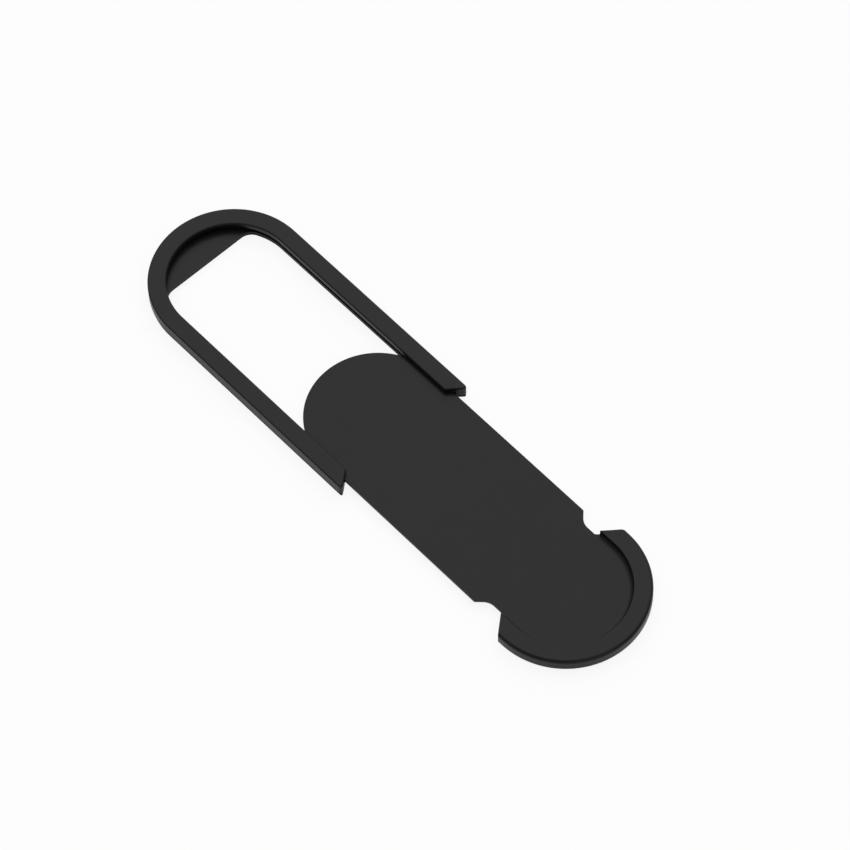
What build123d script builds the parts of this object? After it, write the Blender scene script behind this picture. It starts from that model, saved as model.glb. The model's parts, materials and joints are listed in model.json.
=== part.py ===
"""Webcam cover slider: a thin U-shaped frame that sticks round a lens, and a slide that covers the lens.

Millimetres. X runs along the travel, out of the frame's open mouth, and Z = 0 is the face that sticks down.
The slide stands fully open, and the origin is under the middle of the open cover. Sketches are drawn from
the centre of a round end: the frame's closed end, or the slide's tail.
"""

import os
from math import radians, tan

from build123d import *

# Frame, across the rails
frame_width = 9.0
lip_width = 1.0
wall_thickness = 0.52

# Frame, along the rails, from the centre of the round end to the inner corner of a rail's end
rail_length = 12.95
mitre_angle = 40.0

# Heights of the layers, from the bottom up
adhesive_thickness = 0.20
floor_thickness = 0.12
plate_thickness = 0.18
lip_thickness = 0.35

# Lens window in the floor
window_chord_depth = 2.0
window_corner_radius = 0.30

# Slide
travel = 11.5
crescent_straight = 0.25
notch_length = 1.60
notch_inset = 0.19
stop_length = 0.70
stop_width = 4.0

# Clearances
plate_side_clearance = 0.105
plate_face_clearance = 0.025
closed_gap = 0.25
stop_clearance = 0.06
stop_lift = 0.02
adhesive_inset = 0.04

# Edges and corners
edge_radius = 0.09
grip_edge_radius = 0.26
bowl_edge_radius = 0.16
scoop_radius = 0.13
mitre_tip_radius = 0.12
notch_mouth_radius = 0.06
notch_floor_radius = 0.80
notch_heel_radius = 0.16
stop_corner_radius = 0.15

# Half widths, measured from the middle line
frame_half = frame_width / 2
opening_half = frame_half - lip_width
channel_half = frame_half - wall_thickness
plate_half = channel_half - plate_side_clearance
notch_floor_half = opening_half - notch_inset

# Places along the frame
mitre_slope = tan(radians(mitre_angle))
mitre_run = lip_width * mitre_slope
rail_tip = rail_length + mitre_run

# Places along the slide
crescent_start = rail_length + closed_gap
crescent_tip = crescent_start + mitre_run
head_centre = crescent_tip + crescent_straight
notch_start = crescent_start - notch_length
notch_ramp_end = notch_start + plate_half - notch_floor_half
notch_heel = crescent_start - notch_inset * mitre_slope
stop_start = stop_clearance - window_chord_depth
stop_end = stop_start + stop_length
window_end = travel + stop_end + stop_clearance

# Levels
floor_bottom = adhesive_thickness
floor_top = floor_bottom + floor_thickness
plate_bottom = floor_top + plate_face_clearance
plate_top = plate_bottom + plate_thickness
lip_bottom = plate_top + plate_face_clearance
cover_top = lip_bottom + lip_thickness

# The origin lies under the middle of the open cover
round_end_x = -(travel + head_centre) / 2


def frame_level(z):
    """Sketch plane at height z, with its origin over the centre of the frame's round end."""
    return Plane(origin=(round_end_x, 0, z))


def slide_level(z):
    """Sketch plane at height z, with its origin over the centre of the open slide's tail."""
    return Plane(origin=(round_end_x + travel, 0, z))


def run_out_slot(half_width):
    """Slot with a round end on the sketch's origin, running straight out past the mouth."""
    run = rail_tip + half_width
    with Locations((run / 2, 0)):
        SlotCenterToCenter(run, 2 * half_width)


def rail_outline():
    """Outside of the frame: a round end, two rails with mitred ends and a straight mouth between."""
    with BuildSketch() as outline:
        with BuildLine():
            CenterArc((0, 0), frame_half, 90, 180)
            FilletPolyline(
                (0, frame_half),
                (rail_tip, frame_half),
                (rail_length, opening_half),
                (rail_length, 0),
                radius=[mitre_tip_radius, 0],
            )
            mirror(about=Plane.XZ)
        make_face()
    return outline.sketch


def lens_window(margin):
    """Window in the floor, flush with the lips, cut straight at both ends and widened by margin."""
    with BuildSketch() as window:
        run_out_slot(opening_half + margin)
        with Locations((-window_chord_depth - margin, 0)):
            Rectangle(
                window_chord_depth + window_end + 2 * margin,
                frame_width,
                align=(Align.MIN, Align.CENTER),
                mode=Mode.INTERSECT,
            )
        corners = window.vertices().group_by(Axis.X)
        fillet(corners[0] + corners[-1], window_corner_radius)
    return window.sketch


def slide_outline():
    """Outside of the slide: a round tail, a notch on each side and a wide round head with mitred ends."""
    with BuildSketch() as outline:
        with BuildLine():
            CenterArc((0, 0), plate_half, 90, 180)
            FilletPolyline(
                (0, plate_half),
                (notch_start, plate_half),
                (notch_ramp_end, notch_floor_half),
                (notch_heel, notch_floor_half),
                (crescent_tip, frame_half),
                (head_centre, frame_half),
                radius=[notch_mouth_radius, notch_floor_radius, notch_heel_radius, 0],
            )
            mirror(about=Plane.XZ)
            CenterArc((head_centre, 0), frame_half, -90, 180)
        make_face()
    return outline.sketch


def crescent_outline():
    """Rim of the slide's head, which stands as high as the rails' lips and has their width and mitre."""
    with BuildSketch() as outline:
        add(slide_outline())
        with Locations((head_centre / 2, 0)):
            SlotCenterToCenter(head_centre, 2 * opening_half, mode=Mode.SUBTRACT)
        with Locations((notch_ramp_end, 0)):
            Rectangle(
                notch_ramp_end + frame_half,
                frame_width,
                align=(Align.MAX, Align.CENTER),
                mode=Mode.SUBTRACT,
            )
    return outline.sketch


# Frame: a C-shaped channel bent round the closed end, with a floor that holds the lens window
with BuildPart() as frame:
    with BuildSketch(frame_level(floor_bottom)):
        add(rail_outline())
    extrude(amount=cover_top - floor_bottom)
    with BuildSketch(frame_level(floor_top)):
        run_out_slot(channel_half)
    extrude(amount=lip_bottom - floor_top, mode=Mode.SUBTRACT)
    with BuildSketch(frame_level(lip_bottom)):
        run_out_slot(opening_half)
    extrude(amount=lip_thickness, mode=Mode.SUBTRACT)
    with BuildSketch(frame_level(floor_bottom)):
        add(lens_window(0))
    extrude(amount=floor_thickness, mode=Mode.SUBTRACT)
    fillet(frame.faces().sort_by(Axis.Z)[-1].edges(), edge_radius)

# Slide: a thin plate with a round tail, notched behind a full-height crescent grip with a scooped bowl
with BuildPart() as slide:
    with BuildSketch(slide_level(floor_bottom)):
        add(crescent_outline())
    extrude(amount=cover_top - floor_bottom)
    with BuildSketch(slide_level(plate_bottom)):
        add(slide_outline())
    extrude(amount=plate_thickness)
    plate_face = slide.faces().filter_by(Axis.Z).sort_by(Axis.Z)[-2]
    fillet(plate_face.edges().sort_by(Axis.X)[-3:], scoop_radius)
    # Edges of the grip's top along the travel: mitres, bowl's sides, outer sides, bowl's end, outer end
    rim = slide.faces().sort_by(Axis.Z)[-1].edges().sort_by(Axis.X)
    fillet(rim[4:6] + rim[7:], grip_edge_radius)
    rim = slide.faces().sort_by(Axis.Z)[-1].edges().sort_by(Axis.X)
    fillet(rim[:4] + rim[6:7], bowl_edge_radius)
    with BuildSketch(slide_level(floor_bottom + stop_lift)):
        with Locations((stop_start, 0)):
            RectangleRounded(
                stop_length, stop_width, stop_corner_radius, align=(Align.MIN, Align.CENTER)
            )
    extrude(amount=plate_bottom - floor_bottom - stop_lift)

# Adhesive pad: follows the frame's floor, a little inside its edges
with BuildPart() as adhesive_pad:
    with BuildSketch(frame_level(0)):
        add(rail_outline())
        offset(amount=-adhesive_inset)
        add(lens_window(adhesive_inset), mode=Mode.SUBTRACT)
    extrude(amount=adhesive_thickness)

os.makedirs("parts", exist_ok=True)
frame.part.label = "frame"
export_step(frame.part, "parts/frame.step")
slide.part.label = "slide"
export_step(slide.part, "parts/slide.step")
adhesive_pad.part.label = "adhesive_pad"
export_step(adhesive_pad.part, "parts/adhesive_pad.step")
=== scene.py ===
"""Looks of a stick-on webcam cover: a channel frame, the slide in it and the pad under it.

Pieces are drawn in millimetres about the centre of the round end that they are built on, and
handed over in metres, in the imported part's frame: X along the travel, Z up from the face that
sticks down.
"""

import json
import logging
from collections.abc import Callable, Sequence
from dataclasses import dataclass, field, replace
from enum import Enum
from math import acos, atan2, ceil, hypot, pi, radians, sqrt, tan

import bmesh
import bpy
from mathutils import Matrix, Quaternion, Vector

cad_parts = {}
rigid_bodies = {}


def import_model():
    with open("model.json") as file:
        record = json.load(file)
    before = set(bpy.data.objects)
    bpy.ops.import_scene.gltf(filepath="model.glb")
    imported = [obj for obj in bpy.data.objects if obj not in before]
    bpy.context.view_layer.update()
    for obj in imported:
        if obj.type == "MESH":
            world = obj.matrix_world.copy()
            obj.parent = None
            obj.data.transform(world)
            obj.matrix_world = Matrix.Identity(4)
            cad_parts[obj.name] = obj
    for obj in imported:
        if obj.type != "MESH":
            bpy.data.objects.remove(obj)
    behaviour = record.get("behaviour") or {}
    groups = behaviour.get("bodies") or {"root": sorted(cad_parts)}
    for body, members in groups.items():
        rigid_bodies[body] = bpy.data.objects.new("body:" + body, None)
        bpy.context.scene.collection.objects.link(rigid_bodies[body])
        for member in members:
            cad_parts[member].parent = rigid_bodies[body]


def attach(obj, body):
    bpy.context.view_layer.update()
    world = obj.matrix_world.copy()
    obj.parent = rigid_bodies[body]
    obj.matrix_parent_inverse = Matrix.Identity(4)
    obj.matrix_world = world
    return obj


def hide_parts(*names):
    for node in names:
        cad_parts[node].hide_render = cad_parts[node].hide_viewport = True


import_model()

log = logging.getLogger("cover")

# A drawing's millimetre in metres, then lengths in the drawings
MILLIMETRE = 0.001
TOUCH = 1e-4
CLEAR = 2 * TOUCH
ARC_SLACK = 10 * TOUCH
CHORD_ERROR = 0.0015
START_SIZE = 1.0

# Angles between two faces, in degrees: joined as flat, rounded, broken, shaded as one
FLAT_ANGLE = 1.0
SHARP_ANGLE = 60.0
BREAK_ANGLE = 46.0
SMOOTH_ANGLE = 38.0

# Steps of a turn at least, steps of a broken edge, and sides from which a face is split
FEWEST_TURN_STEPS = 3
BREAK_STEPS = 2
SPLIT_SIDES = 5

WHITE = (1.0, 1.0, 1.0, 1.0)
WHITE_STRENGTH = 1.0


class Body(Enum):
    """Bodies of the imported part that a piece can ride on."""

    BASE = "base"
    SHUTTER = "shutter"


class Slot(Enum):
    """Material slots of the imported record."""

    FRAME = "frame_plastic"
    SLIDE = "slide_plastic"
    PAD = "adhesive"


class Kind(Enum):
    """Kinds of mesh element that a selection can hold."""

    VERTEX = "VERT"
    EDGE = "EDGE"
    FACE = "FACE"


Place = Callable[[Vector], bool]
Point = tuple[float, float]
Colour = tuple[float, float, float]


@dataclass(frozen=True)
class Run:
    """Straight stretch of an outline, up to a point."""

    x: float
    y: float


@dataclass(frozen=True)
class Turn:
    """Round stretch of an outline about a centre, counterclockwise where its angle is positive."""

    x: float
    y: float
    angle: float

    def back(self) -> "Turn":
        """The same turn, drawn the other way."""
        return replace(self, angle=-self.angle)


@dataclass(frozen=True)
class Corner:
    """Corner of an outline and the radius that rounds it."""

    x: float
    y: float
    radius: float = 0.0


Step = Run | Turn


def rounded(start: Point, corners: Sequence[Corner], end: Point) -> list[Step]:
    """Turns an outline given by its corners into straight and round stretches.

    Args:
        start: Point that the outline starts from.
        corners: Corners on the way, each with its radius.
        end: Point that the outline ends on.

    Returns:
        The stretches in order, the last of them straight.
    """
    steps: list[Step] = []
    before = Vector(start)
    after = [Vector((corner.x, corner.y)) for corner in corners[1:]] + [Vector(end)]
    for corner, following in zip(corners, after):
        here = Vector((corner.x, corner.y))
        come = (here - before).normalized()
        leave = (following - here).normalized()
        bend = atan2(come.cross(leave), come.dot(leave))
        entry = here - come * corner.radius * abs(tan(bend / 2))
        steps.append(Run(*entry))
        if corner.radius:
            side = 1 if bend > 0 else -1
            centre = entry + Vector((-come.y, come.x)) * corner.radius * side
            steps.append(Turn(*centre, bend))
        before = here
    steps.append(Run(*end))
    return steps


def mirrored(half: Sequence[Corner]) -> list[Corner]:
    """Completes an outline that is the same on both sides of the travel.

    Args:
        half: Corners on the positive side, in order.

    Returns:
        Those corners, and then their mirror images in the opposite order.
    """
    other = [replace(corner, y=-corner.y) for corner in reversed(half)]
    return [*half, *other]


def near(value: float, target: float) -> bool:
    """Whether two lengths are the same but for rounding."""
    return abs(value - target) < TOUCH


def within(value: float, low: float, high: float) -> bool:
    """Whether a length lies between two others, ends counted."""
    return low - TOUCH < value < high + TOUCH


class Bench:
    """One piece in edit mode, drawn in millimetres with Blender's own operators."""

    def __init__(self, name: str) -> None:
        """Starts a piece on an empty sheet.

        Args:
            name: Name of the piece's object and mesh.
        """
        bpy.ops.object.select_all(action="DESELECT")
        bpy.ops.mesh.primitive_plane_add(size=START_SIZE)
        self.piece: bpy.types.Object = bpy.context.object
        self.piece.name = name
        self.piece.data.name = name
        bpy.ops.object.mode_set(mode="EDIT")
        bpy.ops.mesh.delete(type="VERT")

    def stand(self, x: float, across: Point, levels: Sequence[float]) -> None:
        """Adds an upright plane across the travel, cut at the levels between its foot and its top.

        Args:
            x: Its place along the travel.
            across: Its two edges, across the travel.
            levels: Its heights, from the foot to the top.
        """
        middle = (x, sum(across) / 2, (levels[0] + levels[-1]) / 2)
        size = (1.0, across[1] - across[0], levels[-1] - levels[0])
        upright = (0.0, pi / 2, 0.0)
        bpy.ops.mesh.select_all(action="DESELECT")
        bpy.ops.mesh.primitive_plane_add(size=START_SIZE, location=middle, rotation=upright)
        bpy.ops.transform.resize(value=size, center_override=middle)
        for level in levels[1:-1]:
            bpy.ops.mesh.bisect(
                plane_co=(x, 0.0, level), plane_no=(0.0, 0.0, 1.0), threshold=TOUCH
            )
            bpy.ops.mesh.select_linked()

    def post(self, at: Point, levels: Sequence[float]) -> None:
        """Adds an upright row of edges, from which a wall is drawn.

        Args:
            at: Its place in plan.
            levels: Its heights, from the foot to the top.
        """
        x, y = at
        spare = y + START_SIZE
        self.stand(x, (y, spare), levels)
        self.pick(Kind.VERTEX, lambda p: near(p.x, x) and near(p.y, spare))
        bpy.ops.mesh.delete(type="VERT")
        self.pick(Kind.EDGE, lambda p: near(p.x, x) and near(p.y, y))

    def pick(self, kind: Kind, place: Place, rim: bool = False, sharp: float = 0.0) -> None:
        """Selects the elements whose every corner passes a test, and nothing else.

        Args:
            kind: Kind of element to select.
            place: Test of a corner's place.
            rim: Whether only edges with a single face count.
            sharp: Angle in degrees that two faces must make at an edge for it to count.
        """
        bpy.ops.mesh.select_mode(type=kind.value)
        bpy.ops.mesh.select_all(action="DESELECT")
        mesh = bmesh.from_edit_mesh(self.piece.data)
        elements = {Kind.VERTEX: mesh.verts, Kind.EDGE: mesh.edges, Kind.FACE: mesh.faces}[kind]
        for element in elements:
            corners = [element] if kind is Kind.VERTEX else element.verts
            if rim and not element.is_boundary:
                continue
            if sharp and element.calc_face_angle(0.0) < radians(sharp):
                continue
            if all(place(corner.co) for corner in corners):
                element.select_set(True)
        bmesh.update_edit_mesh(self.piece.data)

    def drop(self, place: Place) -> None:
        """Deletes the faces whose every corner passes a test."""
        self.pick(Kind.FACE, place)
        bpy.ops.mesh.delete(type="FACE")

    def extrude(self, x: float, y: float) -> None:
        """Draws what is selected straight along X and Y."""
        bpy.ops.mesh.extrude_region_move(TRANSFORM_OT_translate={"value": (x, y, 0.0)})

    def spin(self, turn: Turn, radius: float) -> None:
        """Draws what is selected round a turn, in steps that keep close to the true arc.

        Args:
            turn: Centre and angle of the turn.
            radius: Largest radius that the steps are worked out for.
        """
        widest = 2 * acos(1 - CHORD_ERROR / radius)
        steps = max(FEWEST_TURN_STEPS, ceil(abs(turn.angle) / widest))
        centre = (turn.x, turn.y, 0.0)
        bpy.ops.mesh.spin(steps=steps, angle=-turn.angle, center=centre, axis=(0.0, 0.0, 1.0))

    def walk(self, start: Point, steps: Sequence[Step]) -> None:
        """Draws what is selected along an outline.

        Args:
            start: Point of the outline where the selection is.
            steps: Stretches to draw, in order.
        """
        here = Vector(start)
        for step in steps:
            if isinstance(step, Run):
                move = Vector((step.x, step.y)) - here
                if move.length > TOUCH:
                    self.extrude(*move)
                here = here + move
            else:
                centre = Vector((step.x, step.y))
                arm = here - centre
                self.spin(step, arm.length)
                here = centre + Matrix.Rotation(step.angle, 2) @ arm

    def face(self, place: Place) -> None:
        """Fills the open edges that pass a test with one flat face."""
        self.pick(Kind.EDGE, place, rim=True)
        bpy.ops.mesh.edge_face_add()

    def sheet(self, place: Place) -> None:
        """Fills the space between an outer and an inner open edge.

        Args:
            place: Test that the corners of both edges pass.
        """
        self.pick(Kind.EDGE, place, rim=True)
        bpy.ops.mesh.fill(use_beauty=True)
        self.pick(Kind.FACE, place)
        bpy.ops.mesh.dissolve_limited(angle_limit=radians(FLAT_ANGLE))

    def bevel(self, width: float, segments: int) -> None:
        """Rounds the selected edges by a width, in a number of steps."""
        bpy.ops.mesh.bevel(offset=width, segments=segments, affect="EDGES", clamp_overlap=False)

    def merge(self) -> None:
        """Merges doubled corners all over the piece."""
        bpy.ops.mesh.select_all(action="SELECT")
        bpy.ops.mesh.remove_doubles(threshold=TOUCH)

    def close(self) -> None:
        """Merges doubled corners and turns every face outwards."""
        self.merge()
        bpy.ops.mesh.normals_make_consistent(inside=False)

    def hand_over(self, x: float, edge: float) -> bpy.types.Object:
        """Breaks the sharp edges, evens out the shading and puts the piece in place in metres.

        Args:
            x: Place of the drawing's origin along the travel.
            edge: Width of the broken edges.

        Returns:
            The finished piece, at the origin, with its place in its mesh.
        """
        bpy.ops.object.mode_set(mode="OBJECT")
        broken = {
            "width": edge,
            "segments": BREAK_STEPS,
            "limit_method": "ANGLE",
            "angle_limit": radians(BREAK_ANGLE),
            "use_clamp_overlap": False,
        }
        self._modify("BEVEL", broken)
        self._modify("TRIANGULATE", {"min_vertices": SPLIT_SIDES})
        bpy.ops.object.shade_smooth_by_angle(angle=radians(SMOOTH_ANGLE))
        self._modify("WEIGHTED_NORMAL", {"keep_sharp": True})
        self.piece.scale = (MILLIMETRE, MILLIMETRE, MILLIMETRE)
        self.piece.location = (x * MILLIMETRE, 0.0, 0.0)
        bpy.ops.object.transform_apply(location=True, rotation=True, scale=True)
        return self.piece

    def _modify(self, kind: str, settings: dict[str, object]) -> None:
        """Adds a modifier to the piece and applies it.

        Args:
            kind: Modifier type.
            settings: Properties of the modifier.
        """
        bpy.ops.object.modifier_add(type=kind)
        modifier = self.piece.modifiers[-1]
        for name, value in settings.items():
            setattr(modifier, name, value)
        bpy.ops.object.modifier_apply(modifier=modifier.name)


class Signal:
    """Output socket of a shader graph that takes part in Python arithmetic."""

    def __init__(self, graph: "ShaderGraph", socket: bpy.types.NodeSocket) -> None:
        """Keeps the socket and the graph that it is in."""
        self.graph = graph
        self.socket = socket

    def __add__(self, other: "Signal | float") -> "Signal":
        """Sum."""
        return self.graph.math("ADD", self, other)

    def __radd__(self, other: float) -> "Signal":
        """Sum with a number in front."""
        return self.graph.math("ADD", other, self)

    def __sub__(self, other: "Signal | float") -> "Signal":
        """Difference."""
        return self.graph.math("SUBTRACT", self, other)

    def __rsub__(self, other: float) -> "Signal":
        """Difference from a number in front."""
        return self.graph.math("SUBTRACT", other, self)

    def __mul__(self, other: "Signal | float") -> "Signal":
        """Product."""
        return self.graph.math("MULTIPLY", self, other)

    def __rmul__(self, other: float) -> "Signal":
        """Product with a number in front."""
        return self.graph.math("MULTIPLY", other, self)


@dataclass(frozen=True)
class Mottle:
    """One pattern of a finish: its cells in millimetres, its finer layers, and what it varies."""

    cell: float
    layers: float = 0.0
    tint: float = 0.0
    rough: float = 0.0
    relief: float = 0.0

    @property
    def scale(self) -> float:
        """Cells to the metre."""
        return 1.0 / (self.cell * MILLIMETRE)


class ShaderGraph:
    """Node tree of a material or of the world."""

    NOISE_ROUGHNESS = 0.55
    NOISE_MEAN = 0.5
    MIX_SHARE, MIX_LOW, MIX_HIGH, MIX_RESULT = 0, 6, 7, 2

    def __init__(self, owner: bpy.types.Material | bpy.types.World) -> None:
        """Empties the owner's node tree.

        Args:
            owner: Material or world whose nodes are laid out.
        """
        owner.use_nodes = True
        self.tree: bpy.types.NodeTree = owner.node_tree
        self.tree.nodes.clear()

    def node(
        self,
        kind: str,
        settings: dict[str, object] | None = None,
        sockets: dict[str | int, object] | None = None,
        output: str | int = 0,
    ) -> Signal:
        """Adds a node.

        Args:
            kind: Node type.
            settings: Properties of the node, set first.
            sockets: Values or links of its inputs, by name or number.
            output: Output to hand back, by name or number.

        Returns:
            The chosen output, or the node's first input where it has no output.
        """
        made = self.tree.nodes.new(kind)
        for name, value in (settings or {}).items():
            setattr(made, name, value)
        for name, value in (sockets or {}).items():
            if isinstance(value, Signal):
                self.tree.links.new(value.socket, made.inputs[name])
            else:
                made.inputs[name].default_value = value
        return Signal(self, made.outputs[output] if made.outputs else made.inputs[0])

    def math(self, operation: str, left: Signal | float, right: Signal | float) -> Signal:
        """Adds a Math node on two values."""
        return self.node("ShaderNodeMath", {"operation": operation}, {0: left, 1: right})

    def noise(self, at: Signal, mottle: Mottle) -> Signal:
        """Adds a noise about zero.

        Args:
            at: Coordinates to read.
            mottle: Size of its cells and number of its finer layers.

        Returns:
            The noise, from about -0.5 to 0.5.
        """
        sockets = {
            "Vector": at,
            "Scale": mottle.scale,
            "Detail": mottle.layers,
            "Roughness": self.NOISE_ROUGHNESS,
        }
        return self.node("ShaderNodeTexNoise", None, sockets, "Fac") - self.NOISE_MEAN

    def ease(self, value: Signal, low: float, high: float) -> Signal:
        """Adds a smooth step.

        Args:
            value: Value to read.
            low: Value up to which the step is 0.
            high: Value from which the step is 1.

        Returns:
            The step.
        """
        settings = {"interpolation_type": "SMOOTHSTEP"}
        sockets = {"Value": value, "From Min": low, "From Max": high}
        return self.node("ShaderNodeMapRange", settings, sockets)

    def blend(self, share: Signal, low: Colour, high: Colour) -> Signal:
        """Adds a blend of two colours by a share from 0 to 1."""
        sockets = {self.MIX_SHARE: share, self.MIX_LOW: (*low, 1.0), self.MIX_HIGH: (*high, 1.0)}
        return self.node("ShaderNodeMix", {"data_type": "RGBA"}, sockets, self.MIX_RESULT)

    def bump(self, height: Signal, strength: float, depth: float) -> Signal:
        """Adds a relief.

        Args:
            height: Height of the surface.
            strength: How strongly the relief shows.
            depth: Depth of the relief, in millimetres.

        Returns:
            The bent normal.
        """
        sockets = {"Strength": strength, "Distance": depth * MILLIMETRE, "Height": height}
        return self.node("ShaderNodeBump", None, sockets)

    def finish(self, colour: Signal, rough: Signal, specular: float, normal: Signal) -> None:
        """Adds the shader of a finish and makes it the material's surface.

        Args:
            colour: Base colour.
            rough: Roughness.
            specular: Specular level, the same all over.
            normal: Normal bent by the relief.
        """
        sockets = {
            "Base Color": colour,
            "Roughness": rough,
            "Specular IOR Level": specular,
            "Normal": normal,
        }
        shader = self.node("ShaderNodeBsdfPrincipled", None, sockets)
        self.node("ShaderNodeOutputMaterial", None, {"Surface": shader})


@dataclass(frozen=True)
class MouldedPlastic:
    """Matte black moulded plastic: fine eroded grain, faint clouds and slightly rubbed rims."""

    name: str
    dark: Colour = (0.0058, 0.0058, 0.0060)
    light: Colour = (0.0088, 0.0088, 0.0091)
    mid_tint: float = 0.5
    roughness: float = 0.30
    specular: float = 0.20
    rim: float = 0.90
    rub: float = 0.02
    rub_depths: tuple[float, float] = (0.07, 0.01)
    cloud: Mottle = Mottle(cell=1.60, layers=3.0, tint=0.9, rough=0.05)
    patch: Mottle = Mottle(cell=0.32, layers=2.0, tint=0.5, rough=0.08)
    grain: Mottle = Mottle(cell=0.055, layers=2.0, tint=0.6, rough=0.10, relief=0.7)
    pits: Mottle = Mottle(cell=0.12, layers=1.0, relief=0.5)
    relief_strength: float = 0.55
    grain_depth: float = 0.0022

    def material(self) -> bpy.types.Material:
        """Lays out the finish.

        Returns:
            The material.
        """
        made = bpy.data.materials.new(self.name)
        graph = ShaderGraph(made)
        at = graph.node("ShaderNodeTexCoord", output="Object")
        height = graph.node("ShaderNodeSeparateXYZ", None, {0: at}, "Z")
        cloud = graph.noise(at, self.cloud)
        patch = graph.noise(at, self.patch)
        grain = graph.noise(at, self.grain)
        pits = graph.noise(at, self.pits)
        levels = ((self.rim - depth) * MILLIMETRE for depth in self.rub_depths)
        rubbed = graph.ease(height, *levels)
        share = (
            self.mid_tint
            + cloud * self.cloud.tint
            + patch * self.patch.tint
            + grain * self.grain.tint
        )
        rough = (
            self.roughness
            + patch * self.patch.rough
            + grain * self.grain.rough
            - rubbed * (self.rub + cloud * self.cloud.rough)
        )
        relief = grain * self.grain.relief + pits * self.pits.relief
        normal = graph.bump(relief, self.relief_strength, self.grain_depth)
        graph.finish(graph.blend(share, self.dark, self.light), rough, self.specular, normal)
        return made


@dataclass(frozen=True)
class AdhesiveFilm:
    """Black double-sided film: a soft acrylic with fine closed cells and a slight tacky shine."""

    name: str
    dark: Colour = (0.0060, 0.0060, 0.0063)
    light: Colour = (0.0110, 0.0110, 0.0114)
    low_tint: float = 0.3
    roughness: float = 0.62
    specular: float = 0.04
    cells: Mottle = Mottle(cell=0.14, tint=0.5, rough=0.12)
    cloud: Mottle = Mottle(cell=0.90, layers=3.0, tint=0.8, rough=0.15)
    fibre: Mottle = Mottle(cell=0.05, layers=2.0, relief=0.4)
    relief_strength: float = 0.6
    cell_depth: float = 0.004

    def material(self) -> bpy.types.Material:
        """Lays out the finish.

        Returns:
            The material.
        """
        made = bpy.data.materials.new(self.name)
        graph = ShaderGraph(made)
        at = graph.node("ShaderNodeTexCoord", output="Object")
        sockets = {"Vector": at, "Scale": self.cells.scale}
        cells = graph.node("ShaderNodeTexVoronoi", {"feature": "SMOOTH_F1"}, sockets, "Distance")
        cloud = graph.noise(at, self.cloud)
        fibre = graph.noise(at, self.fibre)
        share = self.low_tint + cells * self.cells.tint + cloud * self.cloud.tint
        rough = self.roughness + cloud * self.cloud.rough - cells * self.cells.rough
        relief = cells + fibre * self.fibre.relief
        normal = graph.bump(relief, self.relief_strength, self.cell_depth)
        graph.finish(graph.blend(share, self.dark, self.light), rough, self.specular, normal)
        return made


@dataclass(frozen=True)
class LensWindow:
    """Window in the frame's floor: as wide as the space between the lips, with straight ends.

    Its corners are tighter at the end by the mouth than at the chord across the round end.
    """

    half_width: float = 3.5
    chord: float = -2.0
    end: float = 10.32
    corner_radius: float = 0.30
    chord_radius: float = 0.80

    def grown(self, margin: float) -> "LensWindow":
        """The same window, larger by a margin all round.

        Args:
            margin: How far its edge moves outwards.

        Returns:
            The larger window, with the same radii at its corners.
        """
        return replace(
            self,
            half_width=self.half_width + margin,
            chord=self.chord - margin,
            end=self.end + margin,
        )

    @property
    def chord_centre(self) -> Vector:
        """Centre of the corner between the chord and the round end, on the positive side.

        Returns:
            The centre in plan.
        """
        x = self.chord + self.chord_radius
        reach = self.half_width - self.chord_radius
        return Vector((x, sqrt(reach**2 - x**2)))

    @property
    def shoulder(self) -> float:
        """Angle from the travel at which that corner leaves the round end."""
        return atan2(self.chord_centre.y, self.chord_centre.x)

    @property
    def straight_end(self) -> float:
        """Place along the travel where the straight sides end."""
        return self.end - self.corner_radius

    def corner_turns(self) -> tuple[Turn, Turn, Turn, Turn]:
        """Works out the turns of the four corners.

        Returns:
            The turns, from the end's positive side round over the chord and back to the end.
        """
        inner = self.half_width - self.corner_radius
        x, y = self.chord_centre
        swing = pi - self.shoulder
        return (
            Turn(self.straight_end, inner, pi / 2),
            Turn(x, y, swing),
            Turn(x, -y, swing),
            Turn(self.straight_end, -inner, pi / 2),
        )

    def outline(self) -> tuple[Point, list[Step]]:
        """Works out the whole edge of the window.

        Returns:
            Its start point and its stretches, counterclockwise.
        """
        first, upper, lower, last = self.corner_turns()
        side = self.shoulder - pi / 2
        steps: list[Step] = [
            first,
            Run(0.0, self.half_width),
            Turn(0.0, 0.0, side),
            upper,
            Run(self.chord, -self.chord_centre.y),
            lower,
            Turn(0.0, 0.0, side),
            Run(self.straight_end, -self.half_width),
            last,
            Run(self.end, first.y),
        ]
        return (self.end, first.y), steps


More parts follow.
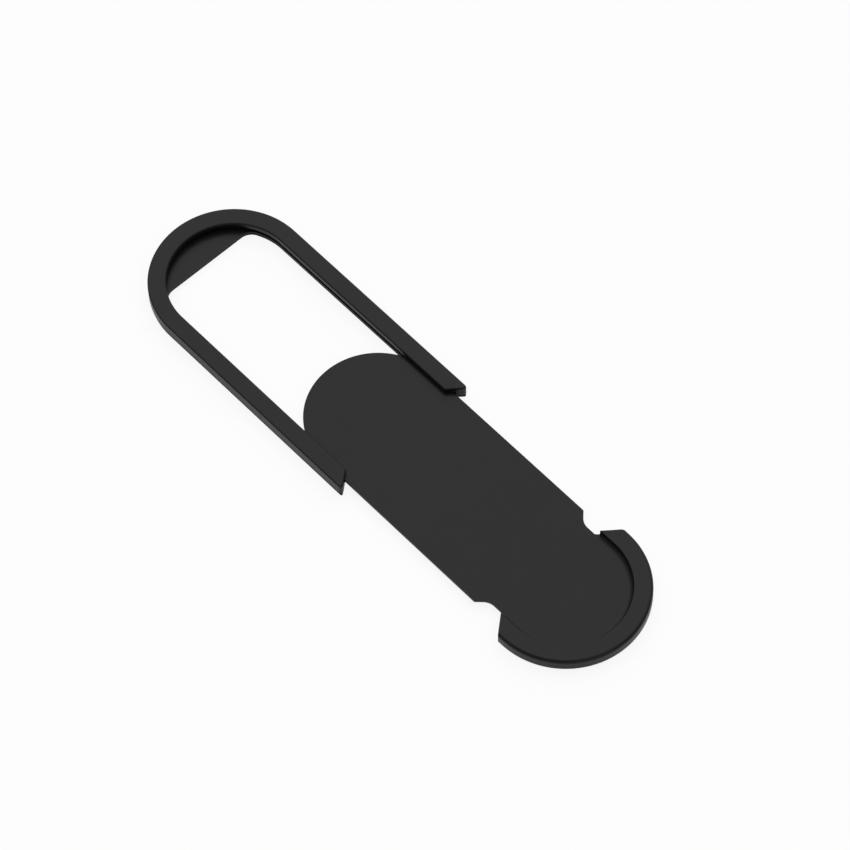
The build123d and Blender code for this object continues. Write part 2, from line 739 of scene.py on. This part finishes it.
@dataclass
class ChannelFrame:
    """U-shaped frame: a C-shaped channel bent round its closed end, with a floor and a window."""

    half_width: float = 4.5
    wall_inside: float = 3.98
    lip_inside: float = 3.5
    rail_end: float = 12.95
    mitre: float = 40.0
    bottom: float = 0.20
    floor_top: float = 0.32
    lip_bottom: float = 0.55
    top: float = 0.90
    tip_radius: float = 0.16
    tip_steps: int = 6
    edge_radius: float = 0.09
    edge_steps: int = 4
    broken_edge: float = 0.015
    closed_end: float = -12.8946
    window: LensWindow = field(default_factory=LensWindow)
    finish: MouldedPlastic = field(default_factory=lambda: MouldedPlastic("frame_matte_black"))

    @property
    def rail_tip(self) -> float:
        """Place along the travel of a rail's outer, longer corner."""
        return self.rail_end + (self.half_width - self.lip_inside) * tan(radians(self.mitre))

    def build(self) -> bpy.types.Object:
        """Models the frame and hangs it on its body.

        Returns:
            The dressed frame.
        """
        bench = Bench("frame_moulding")
        self._draw_channel(bench)
        self._mitre_rails(bench)
        self._lay_floor(bench)
        bench.close()
        self._round_edges(bench)
        piece = bench.hand_over(self.closed_end, self.broken_edge)
        piece.data.materials.append(self.finish.material())
        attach(piece, Body.BASE.value)
        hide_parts("frame")
        return piece

    def _draw_channel(self, bench: Bench) -> None:
        """Cuts the C-shaped section and draws it down one rail, round the end and up the other.

        Args:
            bench: Bench that the frame is drawn on.
        """
        levels = (self.bottom, self.floor_top, self.lip_bottom, self.top)
        bench.stand(self.rail_end, (self.lip_inside, self.half_width), levels)
        bpy.ops.mesh.bisect(
            plane_co=(0.0, self.wall_inside, 0.0), plane_no=(0.0, 1.0, 0.0), threshold=TOUCH
        )
        bench.drop(
            lambda p: within(p.y, self.lip_inside, self.wall_inside)
            and within(p.z, self.floor_top, self.lip_bottom)
        )
        bpy.ops.mesh.select_all(action="SELECT")
        straight = self.window.straight_end
        side = self.window.shoulder - pi / 2
        steps: list[Step] = [
            Run(straight, self.half_width),
            Run(0.0, self.half_width),
            Turn(0.0, 0.0, side),
            Turn(0.0, 0.0, pi - 2 * side),
            Turn(0.0, 0.0, side),
            Run(straight, -self.half_width),
            Run(self.rail_end, -self.half_width),
        ]
        bench.walk((self.rail_end, self.half_width), steps)

    def _mitre_rails(self, bench: Bench) -> None:
        """Slants both rails' ends and rounds their tips.

        Args:
            bench: Bench that the frame is drawn on.
        """
        slope = tan(radians(self.mitre))
        for edge in (self.wall_inside, self.half_width):
            bench.pick(
                Kind.VERTEX, lambda p, y=edge: near(p.x, self.rail_end) and near(abs(p.y), y)
            )
            bpy.ops.transform.translate(value=((edge - self.lip_inside) * slope, 0.0, 0.0))
        bench.pick(
            Kind.EDGE, lambda p: near(p.x, self.rail_tip) and near(abs(p.y), self.half_width)
        )
        bench.bevel(self.tip_radius / tan(radians(90 - self.mitre) / 2), self.tip_steps)

    def _lay_floor(self, bench: Bench) -> None:
        """Closes the floor past the window: a segment at the round end and a strip at the mouth.

        Args:
            bench: Bench that the frame is drawn on.
        """
        straight = self.window.straight_end
        shoulder = self.window.chord_centre.normalized() * self.lip_inside

        def past_sides(p: Vector) -> bool:
            """Whether a point lies past the window's straight and round sides."""
            return not within(p.x, shoulder.x + CLEAR, straight - CLEAR)

        bench.drop(
            lambda p: within(p.z, self.bottom, self.floor_top)
            and near(hypot(min(p.x, 0.0), p.y), self.lip_inside)
            and past_sides(p)
        )
        for level in (self.bottom, self.floor_top):
            bench.drop(lambda p, z=level: near(p.z, z) and past_sides(p))
        first, upper, lower, last = self.window.corner_turns()
        starts = (
            (straight, self.lip_inside, first.back()),
            (straight, -self.lip_inside, last),
            (shoulder.x, shoulder.y, upper),
            (shoulder.x, -shoulder.y, lower.back()),
        )
        for x, y, turn in starts:
            bench.pick(
                Kind.EDGE,
                lambda p, x=x, y=y: near(p.x, x)
                and near(p.y, y)
                and within(p.z, self.bottom, self.floor_top),
            )
            bench.spin(turn, self.window.chord_radius)
        for x in (self.window.end, self.window.chord):
            bench.face(lambda p, x=x: near(p.x, x))
        bench.face(
            lambda p: near(p.x, self.rail_end)
            and near(abs(p.y), self.lip_inside)
            and within(p.z, self.bottom, self.floor_top)
        )
        for level in (self.bottom, self.floor_top):
            bench.face(lambda p, z=level: near(p.z, z) and p.x > 0)
            bench.face(lambda p, z=level: near(p.z, z) and p.x < 0)

    def _round_edges(self, bench: Bench) -> None:
        """Rounds the edges round the top of the lips."""
        bench.pick(Kind.EDGE, lambda p: near(p.z, self.top), sharp=SHARP_ANGLE)
        bench.bevel(self.edge_radius, self.edge_steps)


@dataclass
class CoverSlide:
    """Slide: a thin plate with a round tail and a stop, notched behind a raised crescent grip."""

    plate_half: float = 3.875
    notch_start: float = 11.6
    notch_ramp_end: float = 12.165
    notch_heel: float = 13.0406
    notch_half: float = 3.31
    grip_start: float = 13.2
    scoop_start: float = 13.50
    grip_tip: float = 14.0391
    head_centre: float = 14.2891
    head_half: float = 4.5
    bowl_half: float = 3.5
    stop: tuple[float, float] = (-1.94, -1.24)
    stop_half: float = 2.0
    stop_bottom: float = 0.22
    grip_bottom: float = 0.20
    plate_bottom: float = 0.345
    plate_top: float = 0.525
    top: float = 0.90
    mouth_radius: float = 0.06
    ramp_radius: float = 0.80
    heel_radius: float = 0.16
    stop_radius: float = 0.15
    scoop_radius: float = 0.31
    scoop_steps: int = 8
    bowl_edge: float = 0.035
    bowl_edge_steps: int = 4
    grip_edge: float = 0.20
    grip_edge_steps: int = 8
    broken_edge: float = 0.015
    tail: float = -1.3946
    finish: MouldedPlastic = field(default_factory=lambda: MouldedPlastic("slide_matte_black"))

    def build(self) -> bpy.types.Object:
        """Models the slide and hangs it on its body.

        Returns:
            The dressed slide.
        """
        bench = Bench("slide_moulding")
        self._draw_grip(bench)
        self._draw_plate(bench)
        self._draw_stop(bench)
        self._lay_faces(bench)
        bench.close()
        self._round_grip(bench)
        piece = bench.hand_over(self.tail, self.broken_edge)
        piece.data.materials.append(self.finish.material())
        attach(piece, Body.SHUTTER.value)
        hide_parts("slide")
        return piece

    def _from_middle(self, p: Vector) -> float:
        """Distance in plan from the middle line, or from the head's centre past that centre."""
        return hypot(max(p.x - self.head_centre, 0.0), p.y)

    def _in_bowl(self, p: Vector) -> bool:
        """Whether a point in plan lies in the bowl or on its wall."""
        return self._from_middle(p) < self.bowl_half + TOUCH

    def _outside(self, p: Vector) -> bool:
        """Whether a point in plan lies on the head's outer wall."""
        return self._from_middle(p) > self.head_half - ARC_SLACK

    def _draw_grip(self, bench: Bench) -> None:
        """Draws the crescent's wall all round and opens its inside where the plate joins.

        Args:
            bench: Bench that the slide is drawn on.
        """
        middle = ((self.grip_start + self.grip_tip) / 2, (self.bowl_half + self.head_half) / 2)
        outside = self.head_centre + self.head_half
        inside = self.head_centre + self.bowl_half
        corners = [
            Corner(self.grip_tip, self.head_half),
            Corner(outside, self.head_half, self.head_half),
            Corner(outside, -self.head_half, self.head_half),
            Corner(self.grip_tip, -self.head_half),
            Corner(self.grip_start, -self.bowl_half),
            Corner(self.scoop_start, -self.bowl_half),
            Corner(inside, -self.bowl_half, self.bowl_half),
            Corner(inside, self.bowl_half, self.bowl_half),
            Corner(self.scoop_start, self.bowl_half),
            Corner(self.grip_start, self.bowl_half),
        ]
        bench.post(middle, (self.grip_bottom, self.plate_bottom, self.plate_top, self.top))
        bench.walk(middle, rounded(middle, corners, middle))
        bench.merge()
        bench.drop(lambda p: within(p.z, self.plate_bottom, self.plate_top) and self._in_bowl(p))

    def _draw_plate(self, bench: Bench) -> None:
        """Draws the plate's edge from the crescent round the notches and the tail and back.

        Args:
            bench: Bench that the slide is drawn on.
        """
        start = (self.grip_start, self.bowl_half)
        half = [
            Corner(self.notch_heel, self.notch_half, self.heel_radius),
            Corner(self.notch_ramp_end, self.notch_half, self.ramp_radius),
            Corner(self.notch_start, self.plate_half, self.mouth_radius),
            Corner(-self.plate_half, self.plate_half, self.plate_half),
        ]
        bench.pick(
            Kind.EDGE,
            lambda p: near(p.x, start[0])
            and near(p.y, start[1])
            and within(p.z, self.plate_bottom, self.plate_top),
        )
        bench.walk(start, rounded(start, mirrored(half), (start[0], -start[1])))
        bench.merge()

    def _draw_stop(self, bench: Bench) -> None:
        """Draws the wall of the stop bar under the tail, and closes its foot.

        Args:
            bench: Bench that the slide is drawn on.
        """
        back, front = self.stop
        start = (front, 0.0)
        half = [
            Corner(front, self.stop_half, self.stop_radius),
            Corner(back, self.stop_half, self.stop_radius),
        ]
        bench.post(start, (self.stop_bottom, self.plate_bottom))
        bench.walk(start, rounded(start, mirrored(half), start))
        bench.merge()
        bench.face(lambda p: near(p.z, self.stop_bottom))

    def _lay_faces(self, bench: Bench) -> None:
        """Closes the crescent's top and foot and the plate's two sides.

        Args:
            bench: Bench that the slide is drawn on.
        """
        for level in (self.grip_bottom, self.plate_top, self.top):
            bench.face(lambda p, z=level: near(p.z, z))
        bench.sheet(lambda p: near(p.z, self.plate_bottom))

    def _round_grip(self, bench: Bench) -> None:
        """Scoops out the foot of the bowl's wall and rounds the edges round the grip's top.

        The scoop starts a little in from the mitres, because it would fold over their short edges.

        Args:
            bench: Bench that the slide is drawn on.
        """
        bench.pick(
            Kind.EDGE,
            lambda p: near(p.z, self.plate_top)
            and self._in_bowl(p)
            and p.x > self.scoop_start - TOUCH,
            sharp=SHARP_ANGLE,
        )
        bench.bevel(self.scoop_radius, self.scoop_steps)
        bench.pick(
            Kind.EDGE, lambda p: near(p.z, self.top) and self._outside(p), sharp=SHARP_ANGLE
        )
        bench.bevel(self.grip_edge, self.grip_edge_steps)
        bench.pick(Kind.EDGE, lambda p: near(p.z, self.top), sharp=SHARP_ANGLE)
        bench.bevel(self.bowl_edge, self.bowl_edge_steps)


@dataclass
class AdhesivePad:
    """Pad under the frame's floor: die-cut film, a little inside the frame's outline and window."""

    half_width: float = 4.46
    mouth: Point = (12.91, 3.5146)
    tip: float = 13.7034
    tip_radius: float = 0.08
    thickness: float = 0.20
    inset: float = 0.04
    broken_edge: float = 0.008
    closed_end: float = -12.8946
    window: LensWindow = field(default_factory=LensWindow)
    finish: AdhesiveFilm = field(default_factory=lambda: AdhesiveFilm("adhesive_black"))

    def build(self) -> bpy.types.Object:
        """Models the pad and hangs it on its body.

        Returns:
            The dressed pad.
        """
        bench = Bench("adhesive_film")
        levels = (0.0, self.thickness)
        start = (self.mouth[0], 0.0)
        half = [
            Corner(*self.mouth),
            Corner(self.tip, self.half_width, self.tip_radius),
            Corner(-self.half_width, self.half_width, self.half_width),
        ]
        bench.post(start, levels)
        bench.walk(start, rounded(start, mirrored(half), start))
        start, steps = self.window.grown(self.inset).outline()
        bench.post(start, levels)
        bench.walk(start, steps)
        bench.close()
        for level in levels:
            bench.sheet(lambda p, z=level: near(p.z, z))
        bench.close()
        piece = bench.hand_over(self.closed_end, self.broken_edge)
        piece.data.materials.append(self.finish.material())
        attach(piece, Body.BASE.value)
        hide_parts("adhesive_pad")
        return piece


@dataclass(frozen=True)
class Softbox:
    """Square soft lamp that faces the cover, in metres and watts."""

    name: str
    place: tuple[float, float, float]
    size: float
    power: float

    def build(self) -> None:
        """Hangs the lamp."""
        aim = Vector(self.place).to_track_quat("Z", "Y").to_euler()
        bpy.ops.object.light_add(type="AREA", location=self.place, rotation=aim)
        lamp = bpy.context.object
        lamp.name = self.name
        lamp.data.size = self.size
        lamp.data.energy = self.power


@dataclass(frozen=True)
class ProductCamera:
    """Long-lens camera above the slide's near corner, placed in metres."""

    place: tuple[float, float, float] = (0.089446, -0.075029, 0.193288)
    target: tuple[float, float, float] = (0.000959, 0.001273, 0.000900)
    roll: float = -2.32
    lens: float = 182.5
    sensor: float = 36.0
    clip: tuple[float, float] = (0.005, 20.0)

    def build(self) -> None:
        """Sets up the camera and makes it the scene's own."""
        aim = (Vector(self.target) - Vector(self.place)).to_track_quat("-Z", "Y")
        turned = aim @ Quaternion((0.0, 0.0, 1.0), radians(self.roll))
        bpy.ops.object.camera_add(location=self.place, rotation=turned.to_euler())
        camera = bpy.context.object
        camera.name = "product_camera"
        camera.data.lens = self.lens
        camera.data.sensor_width = self.sensor
        camera.data.clip_start, camera.data.clip_end = self.clip
        bpy.context.scene.camera = camera


@dataclass
class Studio:
    """White floor, soft lamps, and a surround that is bright above the far side only."""

    floor_size: float = 3.0
    floor_level: float = -0.00001
    floor_colour: Colour = (0.97, 0.97, 0.97)
    glow: float = 0.88
    mirror_glow: float = 0.30
    surround: float = 1.20
    dim: float = 0.28
    bright_way: tuple[float, float, float] = (-0.393, 0.339, 0.855)
    fall_off: tuple[float, float] = (0.30, 0.90)
    lamps: tuple[Softbox, ...] = (
        Softbox("key_softbox", (-0.25, 0.22, 0.58), 0.60, 0.54),
        Softbox("fill_softbox", (0.52, -0.10, 0.30), 0.50, 0.30),
    )
    camera: ProductCamera = field(default_factory=ProductCamera)

    def build(self) -> None:
        """Sets the stage."""
        bpy.context.scene.view_settings.view_transform = "Standard"
        self._lay_floor()
        self._light_surround()
        for lamp in self.lamps:
            lamp.build()
        self.camera.build()

    def _shown(self, graph: ShaderGraph) -> Signal:
        """Works out how far the floor shows as plain white, the rest being its shaded paint.

        Args:
            graph: Node tree of the floor's material.

        Returns:
            The share of white, larger for the camera and through glass than in a reflection.
        """
        path = "ShaderNodeLightPath"
        camera = graph.node(path, output="Is Camera Ray")
        mirror = graph.node(path, output="Is Glossy Ray")
        glass = graph.node(path, output="Is Transmission Ray")
        return (camera + glass) * self.glow + mirror * self.mirror_glow

    def _lay_floor(self) -> None:
        """Lays the floor, which shows as white and keeps the cover's shadow."""
        place = (0.0, 0.0, self.floor_level)
        bpy.ops.object.select_all(action="DESELECT")
        bpy.ops.mesh.primitive_plane_add(size=self.floor_size, location=place)
        floor = bpy.context.object
        floor.name = "studio_floor"
        made = bpy.data.materials.new("studio_white")
        graph = ShaderGraph(made)
        paint = graph.node("ShaderNodeBsdfDiffuse", None, {"Color": (*self.floor_colour, 1.0)})
        light = graph.node("ShaderNodeEmission", None, {"Strength": WHITE_STRENGTH})
        shares = {0: self._shown(graph), 1: paint, 2: light}
        mixed = graph.node("ShaderNodeMixShader", None, shares)
        graph.node("ShaderNodeOutputMaterial", None, {"Surface": mixed})
        floor.data.materials.append(made)

    def _light_surround(self) -> None:
        """Lights the surround, brightest above the far side and dim towards the horizon."""
        world = bpy.data.worlds.new("studio_surround")
        graph = ShaderGraph(world)
        way = graph.node("ShaderNodeTexCoord", output="Generated")
        ways = {0: way, 1: self.bright_way}
        lift = graph.node("ShaderNodeVectorMath", {"operation": "DOT_PRODUCT"}, ways, "Value")
        strength = self.dim + graph.ease(lift, *self.fall_off) * (self.surround - self.dim)
        sockets = {"Color": WHITE, "Strength": strength}
        sky = graph.node("ShaderNodeBackground", None, sockets)
        graph.node("ShaderNodeOutputWorld", None, {"Surface": sky})
        bpy.context.scene.world = world


def main() -> None:
    """Builds the pieces, then the studio, and reports each of them."""
    logging.basicConfig(level=logging.INFO, format="%(name)s: %(message)s")
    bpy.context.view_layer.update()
    for part in (ChannelFrame(), CoverSlide(), AdhesivePad()):
        piece = part.build()
        log.info("%s: %d faces", piece.name, len(piece.data.polygons))
    Studio().build()
    log.info("studio: floor, lamps and camera set")


if __name__ == "__main__":
    main()
